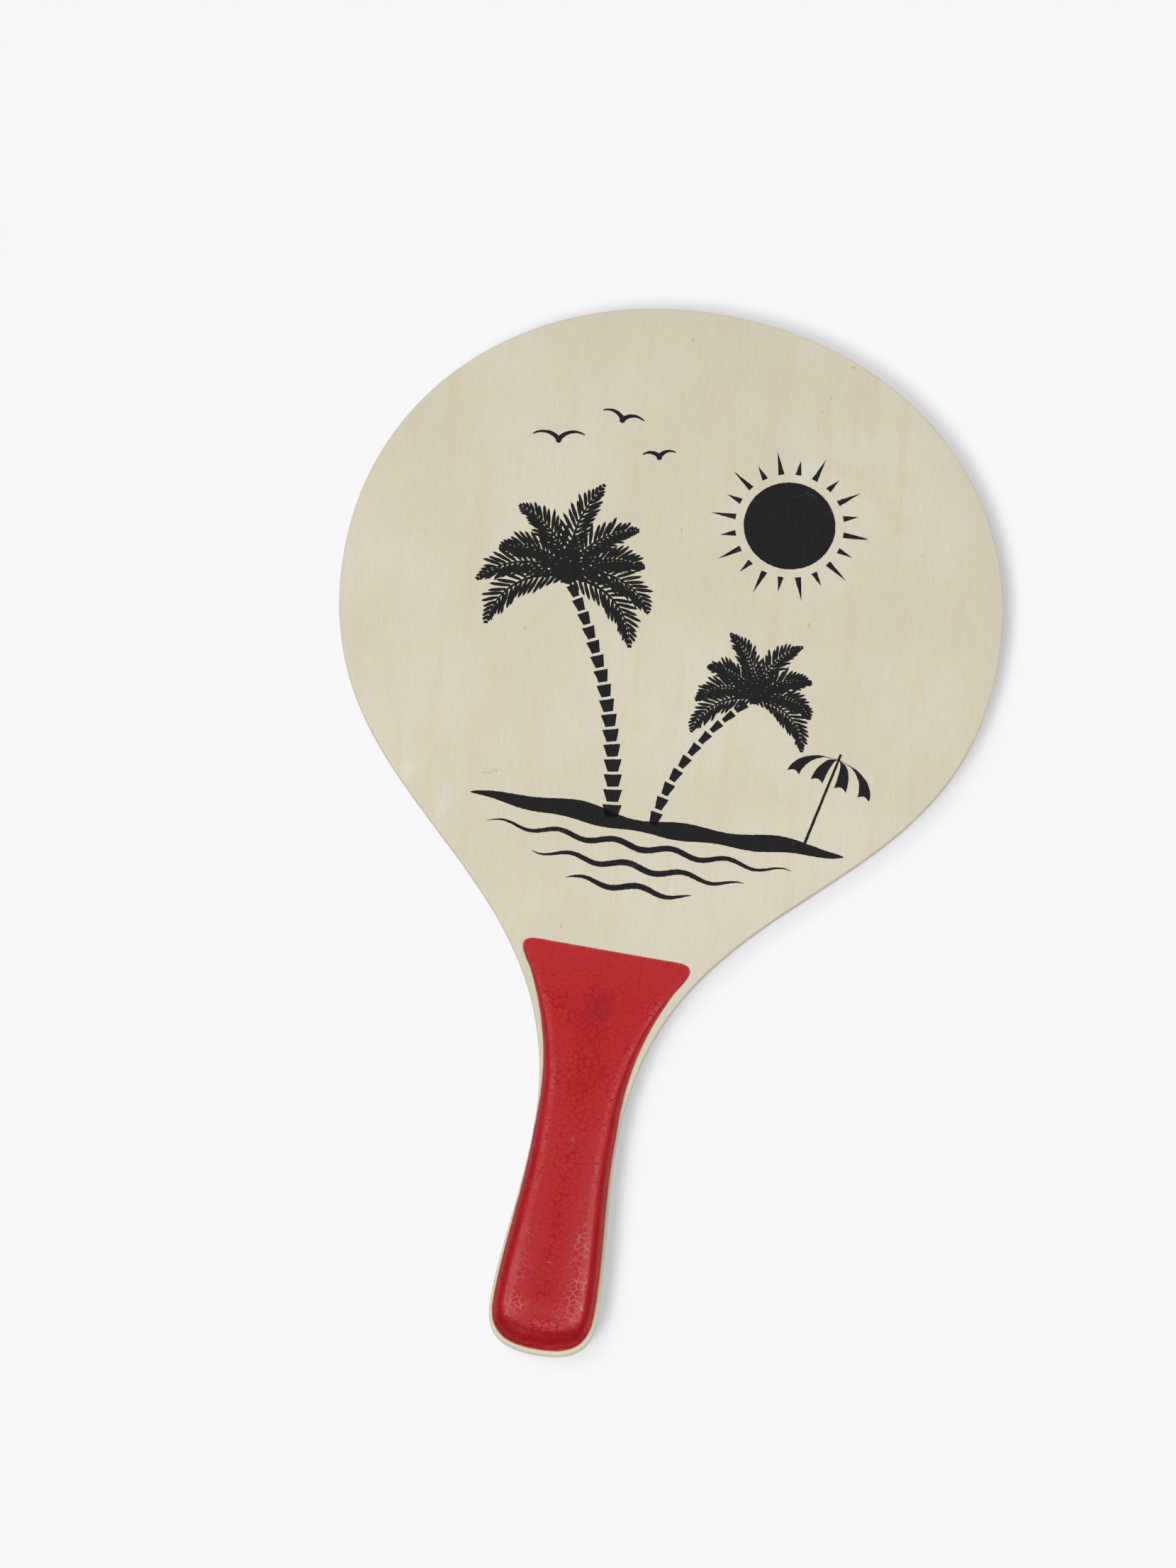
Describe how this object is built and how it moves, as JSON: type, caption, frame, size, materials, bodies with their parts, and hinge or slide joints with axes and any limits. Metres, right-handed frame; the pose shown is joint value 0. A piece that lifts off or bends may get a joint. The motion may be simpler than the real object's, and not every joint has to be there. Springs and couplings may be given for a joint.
{
  "type": "frescobol racket",
  "caption": "Flat teardrop beach racket of sawn plywood, with a moulded plastic grip shell pegged to each side of its short waisted handle.",
  "frame": {"origin": "centre of the bounding box's bottom: midway between tip and butt, on the blade's centreline, level with the crown of the back grip shell that the racket lies on", "axes": "+X across the blade, to the right when the front face is seen with the handle down; +Y along the racket from the butt to the tip; +Z out of the front face"},
  "size_m": [0.245, 0.4, 0.0228],
  "materials": {
    "face_veneer": "pale cream rotary-cut veneer, sanded and left bare",
    "inner_ply": "sawn ply edge, slightly darker than the faces",
    "grip_plastic": "red moulded plastic with a crackled leather grain, semi-gloss",
    "print_ink": "black screen-print ink on the front face"
  },
  "bodies": {
    "root": {"front_face_veneer": "face_veneer", "front_crossband": "inner_ply", "core_ply": "inner_ply", "back_crossband": "inner_ply", "back_face_veneer": "face_veneer", "front_grip_shell": "grip_plastic", "back_grip_shell": "grip_plastic"}
  },
  "joints": []
}
